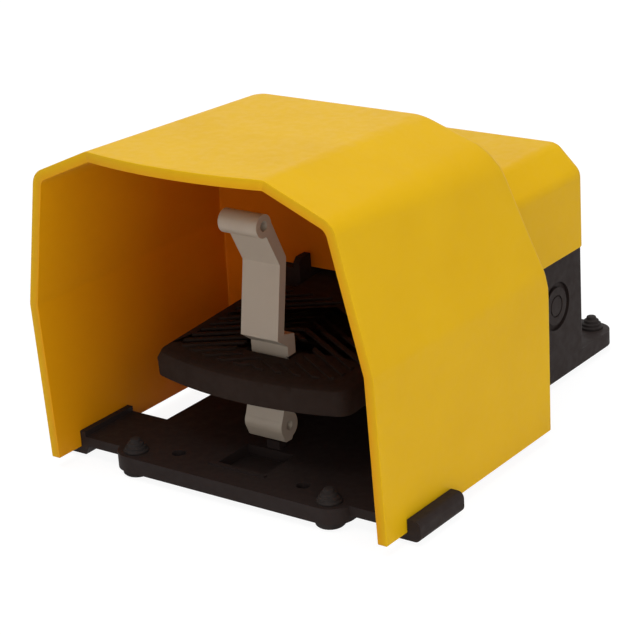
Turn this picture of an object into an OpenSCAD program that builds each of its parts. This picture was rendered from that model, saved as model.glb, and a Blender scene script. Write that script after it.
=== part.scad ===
// Guarded industrial foot switch: a moulded base with a dry contact housing, a hinged
// pedal with a toe latch, and a one-piece hood that covers the foot and the housing.
// Millimetres. X across, Y from the opening to the rear, Z up from the floor.
// Distances marked "from the front edge" start at the front edge of the base plate.

/* [Hood] */
// Width of the hood over its side ridges
hood_w = 160; // [154:1:166]
// Height of the flat top at the opening
hood_h = 137.3; // [132:0.1:140]
// Width of the flat top at the opening
hood_top_w = 81; // [76:1:88]
// Width over the two shoulders
shoulder_w = 136.8; // [132:0.2:140]
// Height of the shoulders below the flat top
shoulder_drop = 12; // [8:0.2:13]
// Height of the side ridges above the floor
ridge_h = 70; // [66:1:74]
// Height of the hood's lower edge above the floor
hood_skirt_z = 4.5; // [4:0.1:5]
// Wall thickness of the hood
hood_wall = 4; // [3.5:0.1:4.5]
// Radius of the long edges of the hood at its opening
rim_soft = 6; // [5:0.5:9]
// Radius of the long edges of the hood at its rear
hood_soft = 15; // [10:1:20]
// Fall of the flat top from the opening to the rear
hood_fall = 3.5; // [1:0.5:5]
// How far the rim stands in front of the base plate
rim_reach = 5.5; // [3:0.5:8]
// How far the top of the rim bows forward of its sides
brow = 6.2; // [3:0.2:8]
// Lean of the rim towards the front, in degrees
rim_lean = 2.3; // [0:0.1:4]
// Rear end of the flat top, from the front edge
hood_top_end = 89.5; // [84:0.5:91]
// Rear end of the side ridges, from the front edge
ridge_end = 110.5; // [109:0.5:112]
// How far the rear edge of the side walls comes forward at the floor
wall_rake = 5.5; // [3:0.5:7]

/* [Rear cover of the hood] */
// Height of the cover's flat top
cover_h = 98.3; // [92:0.1:102]
// Width and height of the sloped edge of the cover
cover_slope = 11; // [8:0.5:13]
// Radius of the cover's edges
cover_soft = 7; // [4:0.5:9]
// Wall thickness of the rear cover
cover_wall = 3.2; // [2.6:0.1:3.6]
// How far the cover stands over the housing on each side
cover_eave = 1; // [0.6:0.1:1.4]
// How far the cover stands over the housing at the rear
cover_back = 1.2; // [0.8:0.1:1.6]

/* [Base] */
// Width of the base plate and of the housing
base_w = 110.4; // [109:0.2:111]
// Length of the base plate
base_l = 207.5; // [203:0.5:214]
// Thickness of the plate's edge
plate_t = 6.4; // [5.6:0.1:7]
// Thickness of the plate's skin
skin_t = 3.2; // [2.6:0.1:3.6]
// Corner radius of the plate
plate_r = 9; // [8:0.5:11]
// Wall thickness of the base and its housing
base_wall = 3; // [2.6:0.1:3.4]
// Height of the joint between housing and cover
joint_z = 55.5; // [54.5:0.1:56.5]
// Rear face of the housing, from the front edge
housing_end = 178.6; // [174:0.1:180]
// Front face of the housing, from the front edge
housing_front = 102; // [101.6:0.1:102]
// Height of the two cheeks beside the pedal neck, above the joint
cheek_h = 6.6; // [4:0.2:8]
// Width of the hinge bay between its walls
bay_w = 60; // [58:1:62]
// Rear face of the hinge bay, from the front edge
bay_end = 128; // [127.5:0.5:129]
// Diameter of the side knock-outs
knockout_d = 20.6; // [18:0.2:22]
// Height of the knock-outs above the floor
knockout_z = 35.5; // [33:0.5:38]
// Distance of the knock-outs from the front edge
knockout_y = 157; // [152:0.5:159]
// Width of the groove around a knock-out
knockout_groove = 2.3; // [1.2:0.1:3]

/* [Hooks] */
// Length of the hooks that hold the hood's lower edge
hook_l = 29; // [24:1:34]
// Start of the hooks, from the front edge
hook_y = 7; // [5:0.5:10]
// Width of the lip outside the hood wall
hook_lip = 5.6; // [4:0.2:6]
// Height of the hook's lip above its underside
hook_h = 8.3; // [7:0.1:9.5]
// Thickness of the hook under the hood wall
hook_t = 2.6; // [2.2:0.1:3]
// Radius of the lip's outer corners
hook_soft = 2.6; // [1.5:0.1:3]

/* [Feet and fixing holes] */
// Height of the plate above the floor
foot_h = 2.9; // [2.4:0.1:3.4]
// Diameter of a rubber foot
foot_d = 11.6; // [10:0.2:13]
// Distance of a foot from the side edge of the plate
foot_in_x = 8.8; // [8:0.1:10]
// Distance of a foot from the end of the plate
foot_in_y = 6.8; // [6.6:0.1:8]
// Diameter of the foot's stem
stem_d = 6; // [5:0.2:7]
// Diameter of the fixing holes
fix_d = 5.5; // [4.5:0.1:6.5]
// Spacing of the fixing holes across the base
fix_w = 60; // [56:1:66]
// Distance of the fixing holes from each end of the plate
fix_in = 13; // [12.5:0.5:15]

/* [Pedal] */
// Width of the tread
pedal_w = 92; // [88:1:94]
// Front edge of the tread, from the front edge of the plate
pedal_front = 14.5; // [13.5:0.5:17]
// Depth of the pedal's rim
pedal_rim = 10.8; // [10:0.1:11.6]
// Thickness of the tread's skin
tread_t = 3; // [2.8:0.1:3.6]
// Radius of the tread's upper edge
tread_soft = 4.8; // [2:0.1:5.4]
// Slope of the tread at rest, in degrees
pedal_tilt = 3.6; // [2.8:0.1:4.2]
// How far the front edge of the tread bows forward
pedal_bow = 7; // [4:0.5:9]
// Radius of the tread's front corners
pedal_r = 6; // [4:0.5:8]
// Height of the grip ribs
grip_h = 0.9; // [0.6:0.1:1.2]
// Width of a grip rib
grip_w = 2; // [1.6:0.1:2.4]
// Distance between grip ribs
grip_pitch = 5.6; // [5:0.1:7]
// Slope of the arms of the grip ribs, in degrees
grip_angle = 30; // [20:1:38]
// Smooth border around the grip ribs
grip_border = 8; // [6:0.5:11]
// Travel of the pedal, in degrees
pedal_travel = 7; // [5:0.5:7]

/* [Pedal hinge] */
// Distance of the axle from the front edge
axle_y = 115; // [114:0.5:116]
// Height of the axle above the floor
axle_z = 45; // [44.6:0.1:45.2]
// Diameter of the axle
axle_d = 8; // [7:0.1:9]
// Wall of the hinge bushes
bush_wall = 1.2; // [1:0.1:1.4]
// Length of a hinge bush
bush_l = 12; // [10:0.5:15]
// Thickness of the flange of a hinge bush
bush_flange = 1; // [0.8:0.1:1.2]
// Wall of the pedal's hinge barrel
barrel_wall = 2.6; // [2.4:0.1:2.8]
// Radial clearance of a running fit
run_gap = 0.05; // [0.03:0.01:0.08]
// Clearance between pieces that pass each other
free_gap = 0.3; // [0.25:0.05:0.4]

/* [Latch] */
// Width of the latch lever
latch_w = 17.6; // [16:0.2:19]
// Thickness of the latch lever
latch_t = 4.2; // [3.6:0.1:4.6]
// Diameter of the toe bar
toe_d = 9.2; // [8.6:0.1:10]
// Length of the toe bar
toe_l = 18; // [17.6:0.2:20]
// Height of the toe bar above the floor
toe_z = 103.5; // [99:0.5:108]
// Distance of the toe bar from the front edge
toe_y = 27; // [25:0.5:29]
// Distance of the latch pivot from the front edge
latch_y = 36.5; // [36:0.1:37]
// Height of the latch pivot above the floor
latch_z = 40.8; // [40.6:0.1:41]
// Diameter of the latch pin
latch_pin_d = 4; // [3.6:0.1:4.2]
// Diameter of the barrel at the lower end of the latch
foot_bar_d = 10.4; // [9.8:0.1:10.6]
// Gap between the latch and its stop
stop_gap = 2.2; // [2.1:0.1:2.6]
// Width of the stop under the latch
stop_w = 6; // [5:0.5:8]

/* [Springs] */
// Wire diameter of the pedal springs
spring_wire = 1.6; // [1.4:0.1:1.8]
// Outer diameter of the pedal springs
spring_d = 13; // [12:0.5:14]
// Turns of a pedal spring
spring_turns = 6; // [5:0.5:7]
// Spacing of the two pedal springs
spring_w = 46; // [42:1:50]
// Distance of the pedal springs from the front edge
spring_y = 86; // [82:1:90]

/* [Contact blocks] */
// Width of a contact block
block_w = 20; // [18:0.5:22]
// Length of a contact block
block_l = 32; // [30:0.5:33]
// Height of a contact block
block_h = 32; // [30:0.5:34]
// Distance of the blocks from each other, middle to middle
block_pitch = 28; // [26:0.5:30]
// Thickness of the steel plate under the blocks
rail_t = 2; // [1.5:0.1:2.5]
// Diameter of a plunger
plunger_d = 6; // [5:0.2:6.4]
// How far below the axle the pedal pushes the plungers
plunger_drop = 18; // [17.6:0.1:18.4]

/* [Hidden] */

$fn = 48;
hull_fn = 40;          // segments of the circles that a hull wraps
thin = 0.4;            // thickness of the slices that a hull joins
far = 400;             // longer than the part
eps = 0.05;            // overlap of pieces of one solid

plate_z = foot_h + plate_t;                 // top of the plate
total_l = base_l + rim_reach + brow + (hood_h * tan(rim_lean));
origin_y = base_l - total_l / 2;            // middle of the part, from the plate's front edge

// hood
hood_x = hood_w / 2;
skirt_in = hood_x - hood_wall;              // inner face of the side walls
hood_back_z = ridge_h - 6.5;                // where the side ridges end at the rear
brow_half = hood_top_w / 2;
hood_roll = 6;                              // rounding where the flat top turns down
hood_back_end = hood_top_end + hood_roll;   // rear face of the hood under its top
wall_lean = (ridge_end - hood_back_end) / (hood_h - hood_fall - hood_roll - hood_back_z);
wall_back_top = ridge_end - (cover_h - hood_back_z) * wall_lean;
wall_back_low = ridge_end - wall_rake * (hood_back_z - joint_z) / (hood_back_z - hood_skirt_z);

// housing
bay_x = bay_w / 2;
bulkhead_end = bay_end + base_wall;
housing_x = base_w / 2;
ledge_z = joint_z - 1.6;                    // seat of the gasket
ledge_end = ridge_end - 1;
gasket_in = 1.2;                            // outer lip of the wall beside the gasket
upstand_end = housing_front + base_wall;
cheek_y = housing_front - 5;                // front of the cheeks beside the neck
post_r = 5.4;                               // screw posts of the cover
post_x = housing_x - base_wall - post_r + 1;
post_ys = [ledge_end + post_r, housing_end - base_wall - post_r + 1];
screw_r = 2;
screw_head_r = 3.6;
screw_head_h = 2.6;
screw_seat_z = ledge_z - 18;                // where the heads of the cover screws sit
screw_bite = 12;                            // depth of the cover screws in the hood's posts

// hinge
axle_r = axle_d / 2;
bush_r = axle_r + run_gap + bush_wall;
barrel_r = bush_r + run_gap + barrel_wall;
neck_x = bay_x - bush_flange - free_gap;    // half width of the pedal's neck
axle_end = bay_x + base_wall + 4;           // the axle reaches past the bay walls
clip_t = 1;
tread_z = joint_z - axle_z - 2.2;           // tread above the axle, in the pedal's own plane
tread_back = housing_front - 6;             // rear edge of the wide tread
tread_reach = axle_y - pedal_front;
tread_len = tread_back - pedal_front;
rib_t = 1.8;                                // ribs under the tread
rib_xs = [-34, -24, 24 - rib_t, 34 - rib_t];
rib_ys = [28, 48];

// Height of the underside of the tread's skin above a point of the plate.
function pedal_under(y) = axle_z + (tread_z - tread_t) / cos(pedal_tilt) - (axle_y - y) * tan(pedal_tilt);

// springs
spring_base = plate_z + 3;
spring_top = axle_z - 8;

// latch
latch_pin_r = latch_pin_d / 2;
well_x = latch_w / 2 + 1.6;                 // half width of the latch well
well_wall = 2.6;
well_front = 9.5;                           // front of the well under the tread, before the pin
slot_front = 1.4;                           // front of the slot in the tread, before the pin
well_back = 10.3;                           // rear of slot and well, behind the pin
pin_boss_r = 4.4;
hub_r = 3.9;
toe_r = toe_d / 2;
foot_bar_r = foot_bar_d / 2;
foot_bar_y = latch_y - 2.5;
foot_bar_z = latch_z - 19.8;
latch_tip_z = foot_bar_z - foot_bar_r - 1;
latch_tip_y = latch_y - 1.5;                // rear edge of the latch's flat tip
stop_y = latch_tip_y - 0.9;
stop_z = latch_tip_z - stop_gap;
pocket_w = latch_w + 5;
pocket_y0 = 12.5;
pocket_y1 = stop_y - 1.4;
pocket_z = foot_h + 2.3;                    // floor of the pocket that takes the latch's tip
pocket_wall = 2;

// contacts
plunger_z = axle_z - plunger_drop;
nose_r = 4;
nose_y = axle_y + 4;
plunger_tip = nose_y + nose_r + 0.1;
plunger_r = plunger_d / 2;
rail_z = plate_z + rail_t;
block_y = bulkhead_end + 1.2;
block_x = block_pitch / 2;
seal_r = plunger_r + 2.2;

// ---- helpers ----

// Every sub-part is drawn from the plate's front edge and set down around the middle.
module in_frame() translate([0, -origin_y, 0]) children();

module both_sides() {
    children();
    mirror([1, 0, 0]) children();
}

// A flat outline drawn in Y and Z, given a thickness along X about the middle.
module across(width) rotate([90, 0, 90]) linear_extrude(width, center = true) children();

// A round bar along X about the middle.
module cross_bar(r, l, y, z) translate([0, y, z]) rotate([0, 90, 0]) cylinder(r = r, h = l, center = true);

module rounded_rect(w, l, r) {
    translate([r - w / 2, 0]) square([w - 2 * r, l]);
    translate([-w / 2, r]) square([w, l - 2 * r]);
    for (x = [r - w / 2, w / 2 - r], y = [r, l - r]) translate([x, y]) circle(r);
}

function unit(v) = v / norm(v);

// A quarter of a circle as seven points, from the angle a.
function arc(x, y, r, a) = [for (k = [0 : 6]) [x + r * cos(a + 15 * k), y + r * sin(a + 15 * k)]];

// Eight points around a wire where it passes p along t, turned from the coil's axis.
function wire_ring(p, t, axis, r) = let (u = unit(cross(t, axis)), v = cross(t, u))
    [for (k = [0 : 7]) p + r * (cos(45 * k) * u + sin(45 * k) * v)];

// Round wire of radius r along a path that winds around the axis.
module wire(path, r, axis) {
    last = len(path) - 1;
    points = [for (i = [0 : last]) each wire_ring(path[i],
        unit(path[min(i + 1, last)] - path[max(i - 1, 0)]), axis, r)];
    sides = [for (i = [0 : last - 1], k = [0 : 7]) let (a = i * 8 + k, b = i * 8 + (k + 1) % 8)
        each [[a, a + 8, b + 8], [a, b + 8, b]]];
    ends = [[for (k = [0 : 7]) k], [for (k = [7 : -1 : 0]) last * 8 + k]];
    polyhedron(points, concat(sides, ends), convexity = 10);
}

// ---- hood ----

// Cross-section of the hood: flat top, shoulders, side ridges and straight skirts.
module hood_section(top_w, fall, soft) {
    half = [[top_w / 2, hood_h - fall], [shoulder_w / 2, hood_h - shoulder_drop - fall],
        [hood_x, ridge_h], [hood_x, -2 * hood_soft]];
    other = [for (i = [3 : -1 : 0]) [-half[i][0], half[i][1]]];
    offset(r = soft, $fn = hull_fn) offset(delta = -soft) polygon(concat(half, other));
}

// A thin slice of the hood at y, drawn in by inset and cut off at its lower edge.
module hood_slice(y, inset, top_w, fall, soft, floor_z) {
    translate([0, y, 0]) rotate([90, 0, 0]) linear_extrude(thin) intersection() {
        offset(delta = -inset) hood_section(top_w, fall, soft);
        translate([-far / 2, floor_z]) square(far);
    }
}

// The hood's main form, or its hollow when drawn in by the wall: a long run from the
// opening and a rounded end that leans down to the side walls.
module hood_form(inset, front_y, floor_z) {
    rear_w = hood_top_w - 4.4;
    bar_x = hood_x - inset;
    hull() {
        hood_slice(front_y, inset, hood_top_w, 0, rim_soft, floor_z);
        hood_slice(hood_top_end - inset / 2, inset, rear_w, hood_fall, hood_soft, floor_z);
    }
    hull() {
        hood_slice(hood_top_end - inset / 2, inset, rear_w, hood_fall, hood_soft, floor_z);
        hood_slice(hood_back_end - hood_roll * 0.3 - inset, inset + hood_roll * 0.3, rear_w,
            hood_fall, hood_soft, ridge_h);
        hood_slice(hood_back_end - inset, inset + hood_roll, rear_w, hood_fall, hood_soft, ridge_h);
        translate([-bar_x, ridge_end - inset - thin, hood_back_z]) cube([2 * bar_x, thin, thin]);
        translate([-bar_x, ridge_end - wall_rake - inset - thin, floor_z]) cube([2 * bar_x, thin, thin]);
    }
}

module cover_slice(y, inset, floor_z) {
    x = housing_x + cover_eave;
    translate([0, y, 0]) rotate([90, 0, 0]) linear_extrude(thin) intersection() {
        offset(r = cover_soft, $fn = hull_fn) offset(delta = -cover_soft - inset)
            polygon([[x, 0], [x, cover_h - cover_slope], [x - cover_slope, cover_h],
                [cover_slope - x, cover_h], [-x, cover_h - cover_slope], [-x, 0]]);
        translate([-far / 2, floor_z]) square(far);
    }
}

// The rear cover over the housing, or its hollow: a straight run whose front leans with
// the hood's rear wall, and a rounded end.
module cover_form(inset, rear_y, front_gap, floor_z) {
    hull() {
        cover_slice(wall_back_top + front_gap, inset, cover_h - inset - 4);
        cover_slice(wall_back_low + front_gap, inset, floor_z);
        cover_slice(rear_y - 4, inset, floor_z);
    }
    hull() {
        cover_slice(rear_y - 4, inset, floor_z);
        cover_slice(rear_y - 1, inset + 1.2, floor_z);
        cover_slice(rear_y, inset + 3.4, floor_z);
    }
}

// Everything in front of the rim, with the bow of the top left standing.
module rim_trim() {
    bow_r = (brow_half * brow_half + brow * brow) / (2 * brow);
    rotate([rim_lean, 0, 0]) translate([0, 0, -20]) linear_extrude(far) difference() {
        translate([-far / 2, -rim_reach - far]) square(far);
        translate([0, bow_r - rim_reach - brow]) circle(bow_r, $fn = 180);
    }
}

// Posts inside the cover that take the cover screws.
module hood_posts() {
    both_sides() for (y = post_ys) translate([post_x, y, joint_z - 1.6]) difference() {
        cylinder(r = post_r - 1, h = cover_h - joint_z - 8);
        translate([0, 0, -1]) cylinder(r = screw_r + run_gap, h = screw_bite + 2);
    }
}

module hood() {
    cover_end = housing_end + cover_back;
    color("#e6b52a") in_frame() difference() {
        union() {
            difference() {
                union() {
                    hood_form(0, -30, hood_skirt_z);
                    cover_form(0, cover_end, -hood_wall / 2, joint_z);
                }
                hood_form(hood_wall, -35, hood_skirt_z - 2);
                cover_form(cover_wall, cover_end - cover_wall, 0.5, joint_z - 2);
            }
            // walls around the hinge bay, which land on the gasket
            difference() {
                across(bay_w + 2 * base_wall) polygon([[wall_back_low - 2, joint_z],
                    [wall_back_top - 2, cover_h - 2], [bulkhead_end, cover_h - 2], [bulkhead_end, joint_z]]);
                across(bay_w) polygon([[wall_back_low - 1, joint_z - 1], [wall_back_top - 1, cover_h - 5],
                    [bay_end, cover_h - 5], [bay_end, joint_z - 1]]);
            }
            hood_posts();
        }
        rim_trim();
        // room for the housing between the side panels
        translate([-housing_x - free_gap, housing_front - 8, -1])
            cube([base_w + 2 * free_gap, ridge_end - housing_front + 8 + eps, joint_z + 1]);
    }
}

// ---- base ----

module plate_outline(inset) translate([0, inset])
    rounded_rect(base_w - 2 * inset, base_l - 2 * inset, plate_r - inset);

module foot_places() both_sides() for (y = [foot_in_y, base_l - foot_in_y])
    translate([housing_x - foot_in_x, y, 0]) children();

module fixing_places() both_sides() for (y = [fix_in, base_l - fix_in])
    translate([fix_w / 2, y, 0]) children();

// Skin, edge, ribs and bosses of the plate.
module plate_body() {
    skin_z = plate_z - skin_t;
    translate([0, 0, skin_z]) linear_extrude(skin_t) plate_outline(0);
    translate([0, 0, foot_h]) linear_extrude(plate_t) difference() {
        plate_outline(0);
        plate_outline(base_wall);
    }
    both_sides() for (x = [16, 36])
        translate([x, 2, foot_h + 0.6]) cube([1.8, base_l - 4, plate_t - 1]);
    for (y = [38, 62, 86, 110, 134, 158, 182])
        translate([2 - housing_x, y, foot_h + 0.6]) cube([base_w - 4, 1.8, plate_t - 1]);
    intersection() {
        translate([0, 0, foot_h]) linear_extrude(plate_t) plate_outline(0);
        foot_places() cylinder(r = foot_d / 2 + 2.4, h = plate_z);
    }
    fixing_places() translate([0, 0, foot_h]) cylinder(r = fix_d / 2 + 3, h = plate_t);
}

// Hook that holds the hood's lower edge, with the tab that carries it.
module hook() {
    under = hood_skirt_z - 0.3 - hook_t;
    slot_in = skirt_in - free_gap;
    slot_out = hood_x + free_gap;
    lip_x = hood_x + free_gap + hook_lip;
    translate([0, hook_y + hook_l, 0]) rotate([90, 0, 0]) linear_extrude(hook_l) polygon([
        [housing_x - 1, plate_z - 4], [slot_in - 4, plate_z - 4], [slot_in - 2, under],
        each arc(lip_x - hook_soft, under + hook_soft, hook_soft, -90),
        each arc(lip_x - hook_soft, under + hook_h - hook_soft, hook_soft, 0),
        [slot_out, under + hook_h], [slot_out, hood_skirt_z - 0.3],
        [slot_in, hood_skirt_z - 0.3], [slot_in, plate_z + 2.2], [slot_in - 2.6, plate_z + 2.2],
        [slot_in - 2.6, plate_z], [housing_x - 1, plate_z]]);
}

module housing_walls() {
    wall_h = joint_z - plate_z + skin_t;
    translate([0, 0, plate_z - skin_t]) linear_extrude(wall_h) difference() {
        translate([0, housing_front]) rounded_rect(base_w, housing_end - housing_front, 2);
        translate([0, housing_front + base_wall])
            rounded_rect(base_w - 2 * base_wall, housing_end - housing_front - 2 * base_wall, 1.5);
        translate([-bay_x, housing_front - 1]) square([bay_w, base_wall + 2]);
    }
    // bay walls and bulkhead, up to the gasket
    translate([0, 0, plate_z - skin_t]) linear_extrude(ledge_z - plate_z + skin_t) difference() {
        translate([-bay_x - base_wall, housing_front])
            square([bay_w + 2 * base_wall, bulkhead_end - housing_front]);
        translate([-bay_x, housing_front - 1]) square([bay_w, bay_end - housing_front + 1]);
    }
    both_sides() {
        // ledge under the hood's rear wall
        translate([bay_x + 1, upstand_end - eps, ledge_z - 4])
            cube([housing_x - bay_x - 2, ledge_end - upstand_end, 4]);
        // cheek beside the pedal's neck
        translate([bay_x + base_wall / 2, 0, 0]) across(base_wall) polygon([[cheek_y, joint_z - 5],
            [cheek_y, joint_z + cheek_h - 2], [cheek_y + 2, joint_z + cheek_h],
            [upstand_end, joint_z + cheek_h], [upstand_end, joint_z - 14], [housing_front, joint_z - 11]]);
        // bearing of the axle in the bay wall
        translate([bay_x, axle_y, axle_z]) rotate([0, 90, 0]) cylinder(r = axle_r + 4, h = base_wall);
        // posts of the cover screws
        for (y = post_ys) translate([post_x, y, foot_h]) cylinder(r = post_r, h = ledge_z - 0.1 - foot_h);
    }
}

module base_cuts() {
    // feet, fixing holes and latch pocket
    foot_places() cylinder(r = stem_d / 2 + run_gap, h = plate_z + 1);
    fixing_places() cylinder(r = fix_d / 2, h = plate_z + 1);
    translate([-pocket_w / 2, pocket_y0, pocket_z]) cube([pocket_w, pocket_y1 - pocket_y0, plate_t]);
    // seat of the gasket along the inner half of the walls
    translate([0, 0, ledge_z]) linear_extrude(far) translate([0, upstand_end])
        rounded_rect(base_w - 2 * gasket_in, housing_end - upstand_end - gasket_in, 1.5);
    // cover screws
    both_sides() for (y = post_ys) translate([post_x, y, 0]) {
        cylinder(r = screw_r + 0.25, h = far);
        cylinder(r = screw_head_r + 0.4, h = screw_seat_z);
    }
    // axle and plungers
    cross_bar(axle_r + run_gap, bay_w + 2 * base_wall + 1, axle_y, axle_z);
    for (x = [-block_x, block_x]) translate([x, bay_end - 1, plunger_z]) rotate([-90, 0, 0])
        cylinder(r = seal_r + run_gap, h = base_wall + 2);
    // knock-outs: a ring that leaves a thin web, and a smaller ring for a punch
    both_sides() translate([housing_x - 1.4, knockout_y, knockout_z]) rotate([0, 90, 0]) {
        difference() {
            cylinder(r = knockout_d / 2, h = 2);
            translate([0, 0, -1]) cylinder(r = knockout_d / 2 - knockout_groove, h = 4);
        }
        translate([0, 0, 0.8]) difference() {
            cylinder(r = knockout_d * 0.23, h = 2);
            translate([0, 0, -1]) cylinder(r = knockout_d * 0.23 - 0.7, h = 4);
        }
    }
    // screws of the contact rail
    rail_screw_places() cylinder(r = 1.5, h = plate_z + 1);
}

module base() {
    color("#2e2523") in_frame() difference() {
        union() {
            plate_body();
            housing_walls();
            both_sides() hook();
            // stop of the latch, seats of the pedal springs, bosses of the rail screws
            translate([-stop_w / 2, stop_y, plate_z - 1]) cube([stop_w, 4.4, stop_z - plate_z + 1]);
            translate([0, stop_y + 4, plate_z - 1]) across(2) polygon([[0, 0], [5, 0], [0, stop_z - plate_z]]);
            spring_places() translate([0, 0, plate_z - 1]) {
                cylinder(r = spring_d / 2 + 1, h = 4);
                cylinder(r = spring_d / 2 - spring_wire - free_gap, h = 8);
            }
            rail_screw_places() translate([0, 0, foot_h]) cylinder(r = 3.4, h = plate_t);
            latch_pocket();
        }
        base_cuts();
    }
}

// Box under the plate around the latch pocket, and the raised rim in front of it.
module latch_pocket() {
    half = pocket_w / 2 + pocket_wall;
    translate([-half, pocket_y0 - pocket_wall, foot_h])
        cube([2 * half, pocket_y1 - pocket_y0 + 2 * pocket_wall, plate_t]);
    translate([-half, pocket_y0 - pocket_wall, plate_z - 1]) cube([2 * half, pocket_wall, 1.9]);
}

// ---- feet, gasket and cover screws ----

// Rubber foot with a ribbed cone that is pulled through the plate.
module foot() {
    barb = plate_z + 0.02;
    color("#1d1a19") rotate_extrude($fn = 48) polygon([[0, 0], [foot_d / 2 - 0.8, 0],
        [foot_d / 2, 0.8], [foot_d / 2, foot_h - 0.3], [foot_d / 2 - 0.5, foot_h], [stem_d / 2, foot_h],
        [stem_d / 2, barb], [4.9, barb], [4.9, barb + 1], [4.1, barb + 1.3], [4.2, barb + 2.2],
        [3.2, barb + 2.6], [3.2, barb + 3.6], [2.2, barb + 4], [2, barb + 5.2], [0, barb + 5.5]]);
}

module foot_front_left() in_frame() translate([foot_in_x - housing_x, foot_in_y, 0]) foot();
module foot_front_right() in_frame() translate([housing_x - foot_in_x, foot_in_y, 0]) foot();
module foot_rear_left() in_frame() translate([foot_in_x - housing_x, base_l - foot_in_y, 0]) foot();
module foot_rear_right() in_frame() translate([housing_x - foot_in_x, base_l - foot_in_y, 0]) foot();

// One flat seal: around the housing, along the ledge and around the hinge bay.
module cover_gasket() {
    run = housing_end - upstand_end;
    color("#3a3634") in_frame() translate([0, 0, ledge_z]) linear_extrude(joint_z - ledge_z)
        difference() {
            union() {
                difference() {
                    translate([0, upstand_end + free_gap])
                        rounded_rect(base_w - 2 * gasket_in - 0.2, run - gasket_in - free_gap - 0.1, 1.5);
                    translate([0, ledge_end]) rounded_rect(base_w - 2 * base_wall,
                        housing_end - base_wall - ledge_end, 1.5);
                }
                translate([-bay_x - base_wall, upstand_end + free_gap])
                    square([bay_w + 2 * base_wall, bulkhead_end - upstand_end - free_gap]);
            }
            translate([-bay_x, housing_front]) square([bay_w, bay_end - housing_front]);
            both_sides() translate([post_x, post_ys[0]]) circle(post_r + free_gap);
            both_sides() translate([post_x, post_ys[1]]) circle(post_r + free_gap);
        }
}

// Screw with its head down, set in from below.
module cover_screw() {
    color("#9a9c9e") {
        difference() {
            translate([0, 0, -screw_head_h]) cylinder(r = screw_head_r, h = screw_head_h);
            for (a = [0, 90]) rotate(a) translate([-2.2, -0.45, -screw_head_h - 1]) cube([4.4, 0.9, 2.4]);
        }
        cylinder(r = screw_r, h = ledge_z - screw_seat_z + screw_bite - 1);
    }
}

module cover_screws() in_frame() both_sides() for (y = post_ys)
    translate([post_x, y, screw_seat_z]) cover_screw();

// ---- pedal ----

// The pedal is drawn level around its axle, then set at its slope.
module at_pedal() translate([0, axle_y, axle_z]) rotate([pedal_tilt, 0, 0]) children();

// Outline of the tread and its neck, y measured from the axle.
module tread_outline(inset) {
    half = pedal_w / 2;
    bow_r = (half * half + pedal_bow * pedal_bow) / (2 * pedal_bow);
    offset(r = pedal_r, $fn = 40) offset(delta = -pedal_r - inset) intersection() {
        translate([-half, -tread_reach]) square([pedal_w, tread_len]);
        translate([0, bow_r - tread_reach]) circle(bow_r, $fn = 160);
    }
}

module neck_outline(inset) translate([inset - neck_x, tread_len - tread_reach - 12 + inset])
    square([2 * (neck_x - inset), tread_reach - tread_len + 12 - inset]);

// Outline of the latch well between two distances from the latch pin.
module well_outline(grow, front) {
    y0 = latch_y - front - axle_y - grow;
    y1 = latch_y + well_back - axle_y + grow;
    translate([-well_x - grow, y0]) square([2 * (well_x + grow), y1 - y0]);
}

// One chevron rib, its point towards the rear.
module chevron(y) {
    drop = pedal_w / 2 * tan(grip_angle);
    polygon([[0, y], [pedal_w / 2, y - drop], [pedal_w / 2, y - drop - grip_w], [0, y - grip_w],
        [-pedal_w / 2, y - drop - grip_w], [-pedal_w / 2, y - drop]]);
}

module grip_ribs() {
    back = tread_len - tread_reach - grip_border / 2;
    count = floor((tread_len + pedal_w / 2 * tan(grip_angle)) / grip_pitch);
    translate([0, 0, tread_z - 1]) linear_extrude(grip_h + 1) difference() {
        intersection() {
            tread_outline(grip_border);
            for (i = [0 : count]) chevron(back + pedal_w / 4 * tan(grip_angle) - i * grip_pitch);
        }
        well_outline(4, slot_front);
    }
}

// The tread as a solid block with a rounded upper edge.
module tread_block() hull() {
    translate([0, 0, tread_z - thin]) linear_extrude(thin) tread_outline(tread_soft * 0.8);
    translate([0, 0, tread_z - tread_soft * 0.3 - thin]) linear_extrude(thin) tread_outline(tread_soft * 0.3);
    translate([0, 0, tread_z - pedal_rim]) linear_extrude(pedal_rim - tread_soft * 0.9) tread_outline(0);
}

module pedal_shell() {
    difference() {
        tread_block();
        translate([0, 0, tread_z - pedal_rim - 1]) linear_extrude(pedal_rim - tread_t + 1)
            tread_outline(tread_t);
    }
    translate([0, 0, tread_z - tread_t]) linear_extrude(tread_t) neck_outline(0);
    translate([0, 0, tread_z - pedal_rim]) linear_extrude(pedal_rim - tread_t + eps) {
        difference() {
            neck_outline(0);
            translate([0, -1]) neck_outline(tread_t);
        }
        intersection() {
            tread_outline(1);
            union() {
                difference() {
                    well_outline(well_wall, well_front);
                    well_outline(0, well_front);
                }
                for (x = rib_xs) translate([x, -far / 2]) square([rib_t, far]);
                for (y = rib_ys) translate([-far / 2, y - tread_reach]) square([far, rib_t]);
            }
        }
    }
    grip_ribs();
}

// Barrel on the axle and the two noses that push the plungers.
module pedal_hinge() {
    cross_bar(barrel_r, 2 * neck_x, 0, 0);
    for (x = [-block_x, block_x]) translate([x, 0, 0]) rotate([-pedal_tilt, 0, 0]) {
        translate([0, nose_y - axle_y, -plunger_drop]) rotate([0, 90, 0])
            cylinder(r = nose_r, h = 8, center = true);
        across(8) polygon([[-6, -2], [6, -2], [nose_y - axle_y + nose_r, -plunger_drop],
            [nose_y - axle_y - nose_r, -plunger_drop]]);
    }
}

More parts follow.
